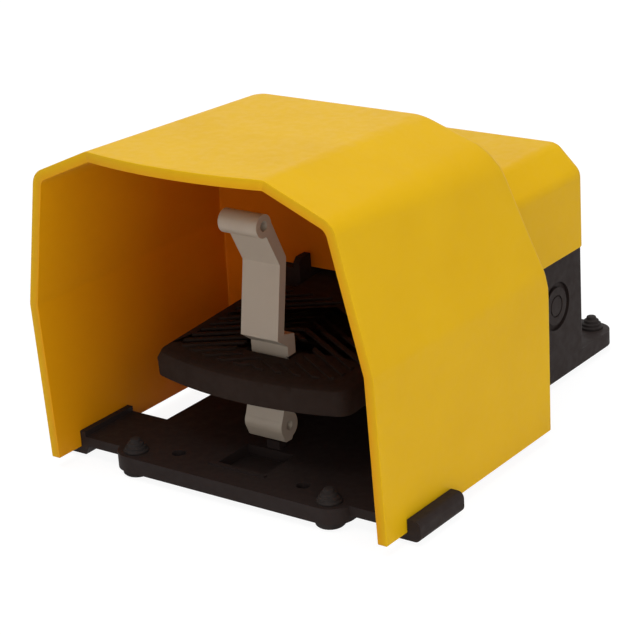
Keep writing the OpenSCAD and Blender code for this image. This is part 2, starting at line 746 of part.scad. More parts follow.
module pedal() {
    color("#2b2422") in_frame() difference() {
        union() {
            at_pedal() {
                pedal_shell();
                pedal_hinge();
            }
            // bosses of the latch pin
            cross_bar(pin_boss_r, 2 * (well_x + well_wall), latch_y, latch_z);
            // level seats of the pedal springs
            spring_places() translate([0, 0, spring_top])
                cylinder(r = spring_d / 2 + 1.4, h = pedal_under(spring_y) - spring_top + 1);
            spring_places() translate([0, 0, spring_top - 4])
                cylinder(r = spring_d / 2 - spring_wire - free_gap, h = 5);
        }
        // slot through the tread for the latch, wider well under it, pin and bush bores
        at_pedal() {
            translate([0, 0, -20]) linear_extrude(60) well_outline(0, slot_front);
            translate([0, 0, -20]) linear_extrude(20 + tread_z - tread_t) well_outline(0, well_front);
        }
        cross_bar(latch_pin_r + run_gap, 2 * (well_x + well_wall) + 1, latch_y, latch_z);
        cross_bar(bush_r + run_gap, 2 * neck_x + 1, axle_y, axle_z);
    }
}

// ---- hinge of the pedal ----

module pedal_axle() {
    groove = axle_end - 1.6 - clip_t;
    color("#a9abad") in_frame() difference() {
        cross_bar(axle_r, 2 * axle_end, axle_y, axle_z);
        both_sides() translate([groove, axle_y, axle_z]) rotate([0, 90, 0]) difference() {
            cylinder(r = axle_r + 1, h = clip_t + 0.1);
            translate([0, 0, -1]) cylinder(r = axle_r - 0.8, h = clip_t + 2);
        }
    }
}

// Spring clips in the grooves of the axle, open on one side.
module axle_clips() {
    groove = axle_end - 1.6 - clip_t;
    color("#7d8083") in_frame() both_sides()
        translate([groove + 0.05, axle_y, axle_z]) rotate([0, 90, 0]) linear_extrude(clip_t) difference() {
            circle(axle_r + 2.6);
            circle(axle_r - 0.75);
            translate([-1.9, 0]) square([3.8, far]);
        }
}

// Flanged plastic bush, pressed in the end of the pedal's barrel.
module bush() {
    color("#d9d4c6") in_frame() translate([neck_x, axle_y, axle_z]) rotate([0, 90, 0]) difference() {
        union() {
            translate([0, 0, -bush_l]) cylinder(r = bush_r, h = bush_l);
            cylinder(r = bush_r + 1.8, h = bush_flange);
        }
        translate([0, 0, -bush_l - 1]) cylinder(r = axle_r + run_gap, h = bush_l + bush_flange + 2);
    }
}

module pedal_bush_right() bush();
module pedal_bush_left() mirror([1, 0, 0]) bush();

// ---- pedal springs ----

module spring_places() both_sides() translate([spring_w / 2, spring_y, 0]) children();

// Rings of eight points around the wire of a coil, fifteen to a turn.
function coil_ring(coil_r, r, rise, a) = [for (k = [0 : 7])
    let (s = coil_r + r * cos(45 * k)) [s * cos(a), s * sin(a), rise + r * sin(45 * k)]];

module pedal_spring(x) {
    r = spring_wire / 2;
    coil_r = spring_d / 2 - r;
    length = spring_top - spring_base - spring_wire - 0.1;
    steps = spring_turns * 15;
    points = [for (i = [0 : steps]) each coil_ring(coil_r, r, length * i / steps, 24 * i)];
    sides = [for (i = [0 : steps - 1], k = [0 : 7])
        [i * 8 + k, (i + 1) * 8 + k, (i + 1) * 8 + (k + 1) % 8, i * 8 + (k + 1) % 8]];
    ends = [[for (k = [0 : 7]) k], [for (k = [7 : -1 : 0]) steps * 8 + k]];
    color("#8e9194") in_frame() translate([x, spring_y, spring_base + r + 0.05])
        polyhedron(points, concat(sides, ends), convexity = 10);
}

module pedal_spring_left() pedal_spring(-spring_w / 2);
module pedal_spring_right() pedal_spring(spring_w / 2);

// ---- latch ----

// Side outline of the lever: toe bar, slanted neck, upright plate, boss and lower barrel.
module latch_outline() {
    bend_y = latch_y - 1.4;
    bend_z = latch_z + 44.7;
    face_y = latch_y - 6;
    face_z = latch_z + 15.8;
    web_y = latch_y - 0.2;
    boss_y = latch_y + 4.5;
    translate([toe_y, toe_z]) circle(toe_r);
    polygon([[toe_y + 1.2, toe_z - toe_r + 0.2], [toe_y + toe_r - 0.1, toe_z + 0.8],
        [bend_y + latch_t, bend_z + 2.2], [face_y + latch_t, face_z + 1.4], [boss_y, face_z],
        [boss_y, latch_z + 8], [latch_y + 3.6, latch_z + 1], [latch_y - 3.6, latch_z + 1],
        [web_y, latch_z + 4.4], [web_y, latch_z + 11.7], [face_y, face_z], [bend_y, bend_z]]);
    translate([latch_y, latch_z]) circle(hub_r);
    polygon([[latch_y - hub_r, latch_z], [latch_y + hub_r - 0.6, latch_z - 1], [latch_y + 0.5, foot_bar_z + 3],
        [foot_bar_y - foot_bar_r + 0.6, foot_bar_z + 2], [latch_y - hub_r - 1, foot_bar_z + 8]]);
    translate([foot_bar_y, foot_bar_z]) circle(foot_bar_r);
    polygon([[foot_bar_y - foot_bar_r + 0.4, foot_bar_z - 1.8], [latch_tip_y - 4.2, latch_tip_z + 0.6],
        [latch_tip_y - 3.6, latch_tip_z], [latch_tip_y, latch_tip_z],
        [latch_tip_y + 1.4, latch_tip_z + 2]]);
}

module latch_lever() {
    color("#9d9383") in_frame() difference() {
        union() {
            across(latch_w) latch_outline();
            cross_bar(toe_r, toe_l, toe_y, toe_z);
        }
        cross_bar(2, toe_l + 1, toe_y, toe_z);
        cross_bar(latch_pin_r + run_gap, latch_w + 1, latch_y, latch_z);
        cross_bar(1.8, latch_w + 1, foot_bar_y, foot_bar_z);
        // room for the latch spring around the pin, open to the rear
        cross_bar(hub_r + 0.1, 5.6, latch_y, latch_z);
        translate([-2.8, latch_y, latch_z - 4]) cube([5.6, 8, 8]);
    }
}

module latch_pin() {
    half = well_x + well_wall;
    color("#b3b5b7") in_frame() translate([0, latch_y, latch_z]) rotate([0, 90, 0]) difference() {
        union() {
            translate([0, 0, -half]) cylinder(r = latch_pin_r, h = 2 * half + 2.6);
            translate([0, 0, -half - 1.4]) cylinder(r = latch_pin_r + 1, h = 1.4);
        }
        translate([0, 0, half + 0.05]) difference() {
            cylinder(r = latch_pin_r + 1, h = 0.9);
            translate([0, 0, -1]) cylinder(r = latch_pin_r - 0.5, h = 3);
        }
    }
}

module latch_pin_clip() {
    color("#7d8083") in_frame() translate([well_x + well_wall + 0.1, latch_y, latch_z])
        rotate([0, 90, 0]) linear_extrude(0.8) difference() {
            circle(latch_pin_r + 1.2);
            circle(latch_pin_r - 0.45);
            translate([-0.9, 0]) square([1.8, far]);
        }
}

// Torsion spring around the latch pin: one leg back to the well, one up the lever.
module latch_spring() {
    r = 0.4;
    coil_r = latch_pin_r + 0.75;
    turns = 2.25;
    steps = turns * 16;
    back_leg = [[-1.4, well_back - 0.5, -coil_r]];
    loops = [for (i = [0 : steps]) let (a = -90 - 360 * turns * i / steps)
        [-1.4 + i * 2.8 / steps, coil_r * cos(a), coil_r * sin(a)]];
    up_leg = [[1.4, -coil_r, 2.2], [1.4, -1.1, 3.9]];
    color("#8e9194") in_frame() translate([0, latch_y, latch_z])
        wire(concat(back_leg, loops, up_leg), r, [1, 0, 0]);
}

// ---- contact blocks ----

module rail_screw_places() both_sides() for (y = [block_y + 4, block_y + block_l - 4])
    translate([block_x + block_w / 2 + 6, y, 0]) children();

module block_screw_places() for (x = [-block_x, block_x], dx = [-1, 1])
    translate([x + dx * (block_w / 2 - 3), block_y + block_l / 2 - dx * (block_l / 2 - 3), 0]) children();

// Zinc-plated steel plate that carries both blocks.
module block_rail() {
    half = block_x + block_w / 2 + 10;
    color("#b9babb") in_frame() difference() {
        translate([0, block_y, plate_z]) linear_extrude(rail_t)
            rounded_rect(2 * half, block_l, 2);
        rail_screw_places() cylinder(r = 1.7, h = far);
        block_screw_places() cylinder(r = 1.25, h = far);
    }
}

module pan_screw(r, l, head_r, head_h) {
    difference() {
        union() {
            translate([0, 0, -l]) cylinder(r = r, h = l + 0.1);
            cylinder(r = head_r, h = head_h);
        }
        for (a = [0, 90]) rotate(a)
            translate([-head_r * 0.6, -head_r * 0.12, head_h * 0.5]) cube([head_r * 1.2, head_r * 0.24, head_h]);
    }
}

module rail_screws() color("#a0a2a4") in_frame() rail_screw_places()
    translate([0, 0, rail_z]) pan_screw(1.45, rail_t + 5, 2.8, 2);

// Moulded block with a plunger bore, screw pockets and a stepped terminal deck.
module contact_block(x) {
    deck = 9;
    in_frame() difference() {
        translate([x - block_w / 2, block_y, rail_z]) cube([block_w, block_l, block_h]);
        // terminal deck at the rear
        translate([x - block_w / 2 - 1, block_y + block_l - 14, rail_z + block_h - deck])
            cube([block_w + 2, 15, deck + 1]);
        // plunger
        translate([x, block_y - 1, plunger_z]) rotate([-90, 0, 0])
            cylinder(r = plunger_r + run_gap, h = block_l - 8);
        // fixing screws in corner pockets
        intersection() {
            translate([x - block_w / 2, block_y, 0]) cube([block_w, block_l, far]);
            block_screw_places() {
                cylinder(r = 1.35, h = far);
                translate([0, 0, rail_z + 6]) cylinder(r = 2.75, h = far);
            }
        }
        // terminal screws
        terminal_places(x) translate([0, 0, rail_z + 8]) cylinder(r = 1.6, h = far);
    }
}

module terminal_places(x) for (dx = [-5.2, 5.2])
    translate([x + dx, block_y + block_l - 9.6, 0]) children();

module contact_block_no() color("#3c4a44") contact_block(-block_x);
module contact_block_nc() color("#4a3a3a") contact_block(block_x);

module block_screws() color("#a0a2a4") in_frame() block_screw_places()
    translate([0, 0, rail_z + 6]) pan_screw(1.2, 8, 2.4, 1.7);

// Plunger with a domed head that the pedal's nose pushes.
module plunger(x) {
    head_y = plunger_tip;
    in_frame() translate([x, 0, plunger_z]) rotate([-90, 0, 0]) {
        translate([0, 0, head_y]) cylinder(r = plunger_r, h = block_y + block_l - 13 - head_y);
    }
}

module plunger_no() color("#3f7d4c") plunger(-block_x);
module plunger_nc() color("#a8322c") plunger(block_x);

// Rubber rings in the bulkhead that wipe the plungers.
module plunger_seals() color("#26211f") in_frame() for (x = [-block_x, block_x])
    translate([x, bay_end, plunger_z]) rotate([-90, 0, 0]) difference() {
        union() {
            cylinder(r = seal_r, h = base_wall);
            translate([0, 0, -1]) cylinder(r = seal_r + 1.4, h = 1);
            translate([0, 0, base_wall]) cylinder(r = seal_r + 1.4, h = 1);
        }
        translate([0, 0, -2]) cylinder(r = plunger_r + run_gap, h = base_wall + 4);
    }

// Square clamp washers under the terminal screws.
module terminal_clamps() color("#c9b15a") in_frame() for (x = [-block_x, block_x]) terminal_places(x)
    translate([0, 0, rail_z + block_h - 9]) difference() {
        translate([-3.4, -3.4, 0]) cube([6.8, 6.8, 1]);
        translate([0, 0, -1]) cylinder(r = 1.7, h = 3);
    }

module terminal_screws() color("#b9babb") in_frame() for (x = [-block_x, block_x]) terminal_places(x)
    translate([0, 0, rail_z + block_h - 8]) pan_screw(1.5, 8, 3, 2);

base();
hood();
cover_gasket();
cover_screws();
foot_front_left();
foot_front_right();
foot_rear_left();
foot_rear_right();
pedal();
pedal_axle();
axle_clips();
pedal_bush_left();
pedal_bush_right();
pedal_spring_left();
pedal_spring_right();
latch_lever();
latch_pin();
latch_pin_clip();
latch_spring();
block_rail();
rail_screws();
contact_block_no();
contact_block_nc();
block_screws();
plunger_no();
plunger_nc();
plunger_seals();
terminal_clamps();
terminal_screws();
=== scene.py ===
# %% [markdown]
# # A guarded foot switch
#
# This lesson dresses a foot switch for a machine: a black base with a dry contact housing, a
# hinged pedal, a grey toe latch, and a yellow hood moulded in one piece with the rear cover.
# The construction comes from a CAD model in metres, so every piece is already in its place.
# Blender's part is the surface: soft moulded edges, grained plastic, rubber and plated steel.

import math

import bmesh
import bpy
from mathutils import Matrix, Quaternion, Vector


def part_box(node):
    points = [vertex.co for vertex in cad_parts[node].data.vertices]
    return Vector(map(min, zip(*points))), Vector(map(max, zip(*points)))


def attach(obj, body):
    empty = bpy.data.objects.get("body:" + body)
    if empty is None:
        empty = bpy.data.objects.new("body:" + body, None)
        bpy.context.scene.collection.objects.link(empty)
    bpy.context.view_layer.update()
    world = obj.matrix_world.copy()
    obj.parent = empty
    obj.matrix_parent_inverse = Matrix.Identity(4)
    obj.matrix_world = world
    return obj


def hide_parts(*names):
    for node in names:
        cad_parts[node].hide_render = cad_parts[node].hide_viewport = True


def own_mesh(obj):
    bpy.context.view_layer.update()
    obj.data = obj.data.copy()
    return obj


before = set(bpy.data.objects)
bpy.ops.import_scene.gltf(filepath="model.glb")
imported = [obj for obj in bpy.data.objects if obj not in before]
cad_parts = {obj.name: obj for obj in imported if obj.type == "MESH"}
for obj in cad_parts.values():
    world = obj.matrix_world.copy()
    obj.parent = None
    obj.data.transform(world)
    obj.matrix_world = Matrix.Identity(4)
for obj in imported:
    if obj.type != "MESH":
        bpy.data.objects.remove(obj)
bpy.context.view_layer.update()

# %% [markdown]
# ## Working in millimetres
#
# A moulded part is drawn in millimetres and Blender works in metres. One short function turns
# a drawing size into a scene size, and one point ties the drawing to the model: the front
# edge of the base plate, from which the drawing measures every distance towards the rear.

# %% Units and the drawing's own frame
MM = 0.001
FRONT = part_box("base")[0].y


def place(x, y, z):
    """A point of the drawing, in mm from the middle, the plate's front edge and the floor."""
    return Vector((x * MM, FRONT + y * MM, z * MM))


print("front edge of the plate at", round(FRONT / MM, 2), "mm")

# %% [markdown]
# ## The camera
#
# The switch is seen from its front right and from above, from a little under a metre away
# with a long lens, which keeps the hood's parallel edges nearly parallel. A camera looks
# along its own -Z. It could be aimed with a constraint, but a direction is turned into a
# rotation with to_track_quat just as well, and a small roll about the line of sight can
# then be added.

# %% Camera
LENS, SENSOR = 123.64, 36.0        # focal length and sensor width, in mm
NEAREST = 0.05                     # nothing closer than this is drawn, in metres
LINE_OF_SIGHT = Vector((-0.56638, 0.74211, -0.35844))
ROLL = math.radians(-3.768)

camera_data = bpy.data.cameras.new("camera")
camera_data.lens = LENS
camera_data.sensor_width = SENSOR
camera_data.clip_start = NEAREST
camera = bpy.data.objects.new("camera", camera_data)
bpy.context.scene.collection.objects.link(camera)
camera.rotation_mode = "QUATERNION"
level = LINE_OF_SIGHT.to_track_quat("-Z", "Y")
camera.rotation_quaternion = level @ Quaternion((0, 0, 1), ROLL)
camera.location = place(483.1, -565.4, 357.7)
bpy.context.scene.camera = camera
print("camera", [round(value, 3) for value in camera.location])

# %% [markdown]
# ## White for the rays that look
#
# A small product is shown on white. Strong lamps on a white sheet would give that, but they
# bleach the product too. A render can tell the rays that only look, straight from the camera
# or by way of a mirror or a glass, from the rays that carry light. The sheet and the room are
# therefore plain white to the first kind and quiet to the second.

# %% Helpers for the sheet and the room
WHITE = (1, 1, 1, 1)


def looking_ray(tree):
    """A value of 1 for rays that only look, which are camera, mirror and glass rays."""
    rays = tree.nodes.new("ShaderNodeLightPath")
    value = rays.outputs["Is Camera Ray"]
    for kind in ("Is Glossy Ray", "Is Transmission Ray"):
        either = tree.nodes.new("ShaderNodeMath")
        either.operation = "MAXIMUM"
        tree.links.new(value, either.inputs[0])
        tree.links.new(rays.outputs[kind], either.inputs[1])
        value = either.outputs[0]
    return value


def shader_mix(tree, factor, first, second):
    """A blend of two shader nodes, from the first at 0 to the second at 1."""
    mix = tree.nodes.new("ShaderNodeMixShader")
    tree.links.new(factor, mix.inputs["Fac"])
    tree.links.new(first.outputs[0], mix.inputs[1])
    tree.links.new(second.outputs[0], mix.inputs[2])
    return mix.outputs[0]


print("helpers for the sheet and the room are ready")

# %% [markdown]
# ## The floor
#
# The floor is one large square of matt paper. If it were all glow, the switch would float.
# So plain white covers only four fifths of the paper's own shade, and the fifth that is left
# still carries the soft shadow under the plate.

# %% Floor
FLOOR_HALF = 4.0                   # half of the sheet's side, in metres
PAPER = (0.86, 0.86, 0.86, 1)
SEEN_WHITE = 0.8                   # how much of the paper's own shade is covered by white
SEEN_GLOW = 1.14                   # how bright that white is

sheet_material = bpy.data.materials.new("pale_sheet")
sheet_material.use_nodes = True
sheet_tree = sheet_material.node_tree
sheet_tree.nodes.clear()
paper = sheet_tree.nodes.new("ShaderNodeBsdfDiffuse")
paper.inputs["Color"].default_value = PAPER
glow = sheet_tree.nodes.new("ShaderNodeEmission")
glow.inputs["Color"].default_value = WHITE
glow.inputs["Strength"].default_value = SEEN_GLOW
share = sheet_tree.nodes.new("ShaderNodeMath")
share.operation = "MULTIPLY"
share.inputs[1].default_value = SEEN_WHITE
sheet_tree.links.new(looking_ray(sheet_tree), share.inputs[0])
sheet_output = sheet_tree.nodes.new("ShaderNodeOutputMaterial")
sheet_tree.links.new(shader_mix(sheet_tree, share.outputs[0], paper, glow),
                     sheet_output.inputs["Surface"])

sheet_corners = [(x * FLOOR_HALF, y * FLOOR_HALF, 0)
                 for x, y in ((-1, -1), (1, -1), (1, 1), (-1, 1))]
floor_mesh = bpy.data.meshes.new("floor")
floor_mesh.from_pydata(sheet_corners, [], [(0, 1, 2, 3)])
floor_mesh.materials.append(sheet_material)
floor = bpy.data.objects.new("floor", floor_mesh)
bpy.context.scene.collection.objects.link(floor)
print("floor:", 2 * FLOOR_HALF, "m square")

# %% [markdown]
# ## The room
#
# Around the floor stands a white room. A backdrop of curved paper would do as well, but it
# would stand in the way when the switch is seen from behind. The world has no place of its
# own, so it suits every view, and its even light fills the shadows.

# %% World
ROOM_LIGHT = 0.27                  # strength of the even light that the room gives

world = bpy.data.worlds.new("white_room")
bpy.context.scene.world = world
world.use_nodes = True
world_tree = world.node_tree
world_tree.nodes.clear()
room = world_tree.nodes.new("ShaderNodeBackground")
room.inputs["Strength"].default_value = ROOM_LIGHT
seen_room = world_tree.nodes.new("ShaderNodeBackground")
seen_room.inputs["Color"].default_value = WHITE
seen_room.inputs["Strength"].default_value = 1.0
world_output = world_tree.nodes.new("ShaderNodeOutputWorld")
world_tree.links.new(shader_mix(world_tree, looking_ray(world_tree), room, seen_room),
                     world_output.inputs["Surface"])
bpy.context.scene.view_settings.view_transform = "Standard"
print("world:", world.name, "at", ROOM_LIGHT)

# %% [markdown]
# ## The lamps
#
# Large lamps close by give soft edges to the shadows, where small ones would draw them hard.
# One hangs above and lights the flat top. One on the right fills the side wall. One shines in
# through the opening from low on the right, so that the latch and the pedal are seen. A weak
# one stands behind, for the views from there.

# %% Lamps
TOWARDS = (0, 0, 0.06)             # the middle of the switch, in metres


def soft_lamp(name, at, target, size, watts):
    """A square area lamp at a point in metres, turned towards its target."""
    lamp_data = bpy.data.lights.new(name, "AREA")
    lamp_data.size = size
    lamp_data.energy = watts
    lamp = bpy.data.objects.new(name, lamp_data)
    lamp.location = at
    lamp.rotation_mode = "QUATERNION"
    lamp.rotation_quaternion = (Vector(target) - Vector(at)).to_track_quat("-Z", "Y")
    bpy.context.scene.collection.objects.link(lamp)


soft_lamp("top_lamp", (-0.1, -0.2, 1.5), TOWARDS, size=1.1, watts=14.3)
soft_lamp("front_lamp", (0.85, -1.25, 0.42), TOWARDS, size=0.8, watts=5.2)
soft_lamp("right_lamp", (1.4, -0.35, 0.7), TOWARDS, size=1.0, watts=6.0)
soft_lamp("back_lamp", (-1.2, 1.6, 0.9), (0, 0, 0.1), size=1.2, watts=2.2)

# %% [markdown]
# ## Small tools for materials
#
# Every finish of the switch is made from the same few steps: a noise of a given size, a range
# stretched to another, and a colour between two colours. A noise image would fix them at one
# resolution, while these nodes stay sharp at any distance and need no unwrapping.

# %% Helpers for materials
COLOUR_A, COLOUR_B, COLOUR_OUT = 6, 7, 2   # sockets of a Mix node that mixes colours


def noise(tree, coords, feature_mm, detail):
    """Noise with features of a given size, between 0 and 1."""
    made = tree.nodes.new("ShaderNodeTexNoise")
    made.inputs["Scale"].default_value = 1 / (feature_mm * MM)
    made.inputs["Detail"].default_value = detail
    tree.links.new(coords.outputs["Object"], made.inputs["Vector"])
    return made.outputs["Fac"]


def map_range(tree, value, low, high, new_low, new_high):
    """A value stretched from one range to another, and held at its ends."""
    made = tree.nodes.new("ShaderNodeMapRange")
    tree.links.new(value, made.inputs["Value"])
    for socket, number in zip(("From Min", "From Max", "To Min", "To Max"),
                              (low, high, new_low, new_high)):
        made.inputs[socket].default_value = number
    return made.outputs[0]


def colour_mix(tree, factor, first, second):
    """A colour between two others, each of them a tuple or another node's output."""
    mix = tree.nodes.new("ShaderNodeMix")
    mix.data_type = "RGBA"
    tree.links.new(factor, mix.inputs["Factor"])
    for socket, colour in ((mix.inputs[COLOUR_A], first), (mix.inputs[COLOUR_B], second)):
        if isinstance(colour, tuple):
            socket.default_value = (*colour, 1)
        else:
            tree.links.new(colour, socket)
    return mix.outputs[COLOUR_OUT]


def linear(red, green, blue):
    """A colour as seen on a screen, from 0 to 255, in the linear values that shaders use."""
    return tuple(((c / 255 + 0.055) / 1.055) ** 2.4 if c > 10 else c / 255 / 12.92
                 for c in (red, green, blue))


print("a middle grey of 128 is", round(linear(128, 128, 128)[0], 3), "in linear light")

# %% [markdown]
# ## One recipe for every finish
#
# The hood, the base and the pedal come out of steel moulds with a fine spark-eroded grain,
# so the plastic is never quite even: the colour drifts over centimetres, the gloss over a few
# millimetres, and the surface has a bump well below a tenth of a millimetre. All three come
# from noise on object coordinates, which sit still on the piece. What is the same all over,
# such as the specular level, is set on the shader itself.

# %% The recipe
PATCH_MM = 38                      # size of the patches in which a plastic's colour drifts
SHEEN_MM = 3.5                     # size of the patches in which its gloss changes
COLOUR_SPREAD = (0.3, 0.7)         # the part of the noise that is stretched to the full range
SHEEN_SPREAD = (0.35, 0.65)


def finish_material(name, dark, light, gloss, grain_mm, grain_depth_mm,
                    specular=0.5, metal=0.0, patch_mm=PATCH_MM):
    """A surface whose colour drifts between two shades, with varying gloss and a fine grain."""
    material = bpy.data.materials.new(name)
    material.use_nodes = True
    tree = material.node_tree
    tree.nodes.clear()
    shader = tree.nodes.new("ShaderNodeBsdfPrincipled")
    shader.inputs["Metallic"].default_value = metal
    shader.inputs["Specular IOR Level"].default_value = specular
    coords = tree.nodes.new("ShaderNodeTexCoord")
    patches = map_range(tree, noise(tree, coords, patch_mm, 3), *COLOUR_SPREAD, 0.0, 1.0)
    tree.links.new(colour_mix(tree, patches, dark, light), shader.inputs["Base Color"])
    sheen = map_range(tree, noise(tree, coords, SHEEN_MM, 4), *SHEEN_SPREAD, *gloss)
    tree.links.new(sheen, shader.inputs["Roughness"])
    bump = tree.nodes.new("ShaderNodeBump")
    bump.inputs["Strength"].default_value = 1.0
    bump.inputs["Distance"].default_value = grain_depth_mm * MM
    tree.links.new(noise(tree, coords, grain_mm, 2), bump.inputs["Height"])
    tree.links.new(bump.outputs["Normal"], shader.inputs["Normal"])
    output = tree.nodes.new("ShaderNodeOutputMaterial")
    tree.links.new(shader.outputs[0], output.inputs["Surface"])
    return material


print("colour drifts over", PATCH_MM, "mm, gloss over", SHEEN_MM, "mm")

# %% [markdown]
# ## Yellow plastic
#
# The hood's safety yellow is a strongly dyed plastic. Inside the hood the light has bounced
# from yellow to yellow and looks redder the deeper it gets. A render with few bounces doesn't
# reach that. A warm lamp inside would stain the latch, so this shade is painted into the
# colour: on the faces marked as the hood's inside it drifts from gold at the rim to amber.

# %% Yellow plastic
INSIDE_MARK = "inside_of_shell"
# painted shade: the inside's colour reaches its deepest amber this far behind the rim
PAINTED_SHADE_DEPTH = 0.085                 # depth behind the rim, in metres, where the drift ends

yellow = finish_material("yellow_moulding", linear(223, 174, 8), linear(228, 180, 12),
                         (0.5, 0.6), 0.55, 0.018, specular=0.15)


def paint_bounce_shade(material, rim_shade_colour, deep_shade_colour):
    """Paint bounced shade on the inside of a shell, deeper from its rim to well inside."""
    tree = material.node_tree
    base_colour = tree.nodes["Principled BSDF"].inputs["Base Color"]
    outside = base_colour.links[0].from_socket
    coords = tree.nodes.new("ShaderNodeTexCoord")
    split = tree.nodes.new("ShaderNodeSeparateXYZ")
    tree.links.new(coords.outputs["Object"], split.inputs[0])
    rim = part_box("hood")[0].y
    depth = map_range(tree, split.outputs["Y"], rim, rim + PAINTED_SHADE_DEPTH, 0.0, 1.0)
    inside = colour_mix(tree, depth, rim_shade_colour, deep_shade_colour)
    mark = tree.nodes.new("ShaderNodeAttribute")
    mark.attribute_name = INSIDE_MARK
    tree.links.new(colour_mix(tree, mark.outputs["Fac"], outside, inside), base_colour)


# painted shade inside the hood, from gold at the rim to amber deep inside
paint_bounce_shade(yellow, linear(226, 159, 5), linear(208, 110, 1))
print("yellow plastic:", yellow.name)

# %% [markdown]
# ## The other plastics and the rubber
#
# The base and the contact blocks are black with a trace of brown. The pedal is a little more
# matt, as a tread should be. The latch is a smooth warm grey, the hinge bushes are undyed,
# the two plungers are green and red, and the feet and seals are rubber. Each could be a copy
# of the yellow with another colour, but the gloss and the grain tell them apart as much.

# %% Plastics and rubber
black = finish_material("black_moulding", linear(38, 30, 28), linear(44, 36, 34),
                        (0.55, 0.68), 0.6, 0.03, specular=0.1)
tread_black = finish_material("tread_moulding", linear(38, 28, 23), linear(44, 33, 28),
                              (0.62, 0.78), 0.6, 0.03, specular=0.08)
grey = finish_material("grey_moulding", linear(164, 150, 134), linear(172, 159, 143),
                       (0.38, 0.48), 1.2, 0.008)
rubber = finish_material("black_rubber", linear(28, 22, 20), linear(36, 30, 28),
                         (0.7, 0.85), 0.5, 0.03, specular=0.25)
natural = finish_material("natural_moulding", linear(222, 216, 200), linear(230, 225, 210),
                          (0.35, 0.45), 1.5, 0.006)
green = finish_material("green_moulding", (0.03, 0.2, 0.06), (0.04, 0.25, 0.08),
                        (0.35, 0.45), 1.2, 0.006)
red = finish_material("red_moulding", (0.38, 0.02, 0.015), (0.45, 0.03, 0.02),
                      (0.35, 0.45), 1.2, 0.006)
print("plastics:", [m.name for m in (black, tread_black, grey, rubber, natural, green, red)])

# %% [markdown]
# ## Metals
#
# The axle, the pins and the screws are zinc plated: bright, but with the soft cloud of a
# plating bath. Spring wire is drawn and a little darker, and the terminal clamps are brass.
# Metals follow the same recipe with the metallic value turned up and the grain turned down,
# and their clouds are only millimetres wide.

# %% Metals
zinc = finish_material("zinc_plate", (0.55, 0.56, 0.57), (0.68, 0.69, 0.70),
                       (0.22, 0.36), 2.0, 0.004, metal=1.0, patch_mm=6)
spring_steel = finish_material("spring_wire", (0.38, 0.38, 0.39), (0.5, 0.5, 0.51),
                               (0.25, 0.4), 0.8, 0.004, metal=1.0, patch_mm=5)
brass = finish_material("brass", (0.62, 0.45, 0.18), (0.72, 0.55, 0.26),
                        (0.25, 0.38), 1.5, 0.004, metal=1.0, patch_mm=5)
print("metals:", [m.name for m in (zinc, spring_steel, brass)])

# %% [markdown]
# ## A skin in two layers
#
# The hood is one shell about four millimetres thick. It could be a solid block with a second
# block cut out of it, but a cut leaves thin triangles that shade badly. Here a single grid is
# laid twice, once as the outer face and once pushed in by the wall, and the open border of
# the two layers is stitched together. The result is one closed body of four-sided faces.

# %% Helpers for meshes
def new_piece(name, verts, faces, material, body):
    """A mesh object in metres that rides on a body and has one material."""
    mesh = bpy.data.meshes.new(name)
    mesh.from_pydata(verts, [], faces)
    mesh.materials.append(material)
    mesh.validate()
    bm = bmesh.new()
    bm.from_mesh(mesh)
    bmesh.ops.recalc_face_normals(bm, faces=bm.faces)
    bm.to_mesh(mesh)
    bm.free()
    mesh.polygons.foreach_set("use_smooth", [True] * len(mesh.polygons))
    piece = bpy.data.objects.new(name, mesh)
    bpy.context.scene.collection.objects.link(piece)
    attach(piece, body)
    return piece


def two_layers(outer, inner, faces):
    """Closed body from two point lists with the same faces: the layers and a stitched border."""
    count = len(outer)
    edges = dict.fromkeys(edge for face in faces for edge in zip(face, face[1:] + face[:1]))
    open_edges = [(a, b) for a, b in edges if (b, a) not in edges]
    stitched = [(b, a, a + count, b + count) for a, b in open_edges]
    turned = [tuple(v + count for v in reversed(face)) for face in faces]
    return outer + inner, [tuple(face) for face in faces] + turned + stitched


print("mesh helpers are ready")

# %% [markdown]
# ## Sections with rounded corners
#
# The hood and the cover are both drawn out along a section: a chain of straight runs with
# rounded corners. A curve with a bevel would draw the runs, but not the wall's inner face.
# So each point of the section carries the direction that leads inwards, square to the wall,
# and the inner layer is the same point moved along it. Half a section is enough, because the
# other half is its mirror image.

# %% Helpers for sections
def rounded_profile(corners, radius, arc_steps, run_steps):
    """Points and inward normals along a half-section: corners rounded, each run in steps."""
    made = []

    def run(start, end, normal, count):
        for i in range(1 if made else 0, count + 1):
            made.append((start.lerp(end, i / count), normal))

    reached = corners[0]
    for before, corner, after, count in zip(corners, corners[1:], corners[2:], run_steps):
        way_in = (corner - before).normalized()
        way_out = (after - corner).normalized()
        turn = way_in.angle(way_out)
        reach = radius * math.tan(turn / 2)
        inward = Vector((-way_in.y, way_in.x))
        run(reached, corner - way_in * reach, inward, count)
        centre = corner - way_in * reach + inward * radius
        for k in range(1, arc_steps + 1):
            angle = turn * k / arc_steps
            spoke = Vector((-inward.x * math.cos(angle) + inward.y * math.sin(angle),
                            -inward.x * math.sin(angle) - inward.y * math.cos(angle)))
            made.append((centre + spoke * radius, -spoke))
        reached = corner + way_out * reach
    run(reached, corners[-1], Vector((-way_out.y, way_out.x)), run_steps[-1])
    return made


def mirrored(half):
    """A half-section from the right foot to the middle, continued down to the left foot."""
    return half + [(Vector((-p.x, p.y)), Vector((-n.x, n.y))) for p, n in reversed(half[:-1])]


def by_steps(table, z):
    """A value that changes in straight lines between the rows of a small table."""
    for (z0, v0), (z1, v1) in zip(table, table[1:]):
        if z <= z1:
            return v0 + (v1 - v0) * max(0.0, (z - z0) / (z1 - z0))
    return table[-1][1]


print("section helpers are ready")

